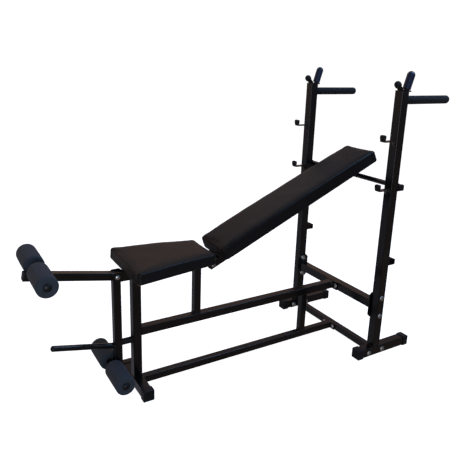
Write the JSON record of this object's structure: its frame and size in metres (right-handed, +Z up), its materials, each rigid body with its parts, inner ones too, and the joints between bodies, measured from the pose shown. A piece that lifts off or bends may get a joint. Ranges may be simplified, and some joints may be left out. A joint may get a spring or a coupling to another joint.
{
  "type": "adjustable weight bench",
  "caption": "Weight bench with barbell uprights, tilting backrest on a support bar, dip handles and a leg lever with foam rollers and a weight peg.",
  "frame": {"origin": "on the floor, below the middle of the bounding box", "axes": "+X towards the uprights, at the head end; +Y towards the right-hand upright of somebody lying on the bench seen from the foot end; +Z up"},
  "size_m": [1.7179, 0.611, 1.2571],
  "materials": {
    "painted_steel": "gloss black powder coat",
    "zinc_steel": "bright zinc plate",
    "black_plastic": "moulded black plastic",
    "nylon": "natural nylon",
    "black_rubber": "matt black rubber",
    "sleeve_plastic": "soft dark plastic sleeve",
    "grip_foam": "ribbed black foam rubber",
    "roller_foam": "closed-cell black foam",
    "board": "particle board",
    "vinyl": "black vinyl with a fine grain"
  },
  "bodies": {
    "frame": {"back_hinge_spacers": "nylon", "back_hinge_tube": "painted_steel", "cradle_arms": "painted_steel", "cradle_plates": "painted_steel", "cradle_sleeves": "sleeve_plastic", "cradle_stub_caps": "black_rubber", "cradle_stubs": "painted_steel", "crossbar_flanges": "painted_steel", "dip_bars": "painted_steel", "dip_grips": "grip_foam", "frame_bolts": "zinc_steel", "frame_nuts": "zinc_steel", "front_foot_bar": "painted_steel", "front_foot_caps": "black_plastic", "front_post": "painted_steel", "hinge_axles": "zinc_steel", "hinge_nuts": "zinc_steel", "hook_tips": "black_rubber", "left_foot_bar": "painted_steel", "left_upright": "painted_steel", "lever_bumper": "black_rubber", "lever_clevis": "painted_steel", "lower_bar_brackets": "painted_steel", "lower_crossbar": "painted_steel", "lower_hooks": "painted_steel", "lower_rail": "painted_steel", "rail_flanges": "painted_steel", "rear_foot_caps": "black_plastic", "rear_strut": "painted_steel", "right_foot_bar": "painted_steel", "right_upright": "painted_steel", "seat_board": "board", "seat_carrier": "painted_steel", "seat_pad": "vinyl", "seat_screws": "zinc_steel", "seat_strut": "painted_steel", "upper_bar_brackets": "painted_steel", "upper_crossbar": "painted_steel", "upper_hooks": "painted_steel", "upper_rail": "painted_steel"},
    "leg_lever": {"lever_tube": "painted_steel", "lever_arm": "painted_steel", "lever_plugs": "black_plastic", "lever_bushing": "nylon", "roller_rods": "painted_steel", "rod_plugs": "black_plastic", "weight_peg": "painted_steel"},
    "backrest": {"back_pad": "vinyl", "back_board": "board", "back_rails": "painted_steel", "back_rail_plugs": "black_plastic", "back_screws": "zinc_steel"},
    "support_bar": {"support_bar": "painted_steel", "support_bar_caps": "black_plastic"},
    "upper_left_roller": {"upper_left_roller": "roller_foam"},
    "upper_right_roller": {"upper_right_roller": "roller_foam"},
    "lower_left_roller": {"lower_left_roller": "roller_foam"},
    "lower_right_roller": {"lower_right_roller": "roller_foam"}
  },
  "joints": [
    {"name": "leg_lever_pivot", "type": "hinge", "parent": "frame", "child": "leg_lever", "pos_m": [-0.53, 0, 0.488], "axis": [0, 1, 0], "range_deg": [0, 80]},
    {"name": "backrest_hinge", "type": "hinge", "parent": "frame", "child": "backrest", "pos_m": [-0.1385, 0, 0.4765], "axis": [0, -1, 0], "range_deg": [0, 16]},
    {"name": "support_bar_slide", "type": "slide", "parent": "frame", "child": "support_bar", "axis": [0, 1, 0], "range_m": [-0.0015, 0.0015]},
    {"name": "upper_left_roller_spin", "type": "hinge", "parent": "leg_lever", "child": "upper_left_roller", "pos_m": [-0.81001, 0, 0.56634], "axis": [0, 1, 0], "continuous": true},
    {"name": "upper_right_roller_spin", "type": "hinge", "parent": "leg_lever", "child": "upper_right_roller", "pos_m": [-0.81001, 0, 0.56634], "axis": [0, 1, 0], "continuous": true},
    {"name": "lower_left_roller_spin", "type": "hinge", "parent": "leg_lever", "child": "lower_left_roller", "pos_m": [-0.556, 0, 0.118], "axis": [0, 1, 0], "continuous": true},
    {"name": "lower_right_roller_spin", "type": "hinge", "parent": "leg_lever", "child": "lower_right_roller", "pos_m": [-0.556, 0, 0.118], "axis": [0, 1, 0], "continuous": true}
  ]
}
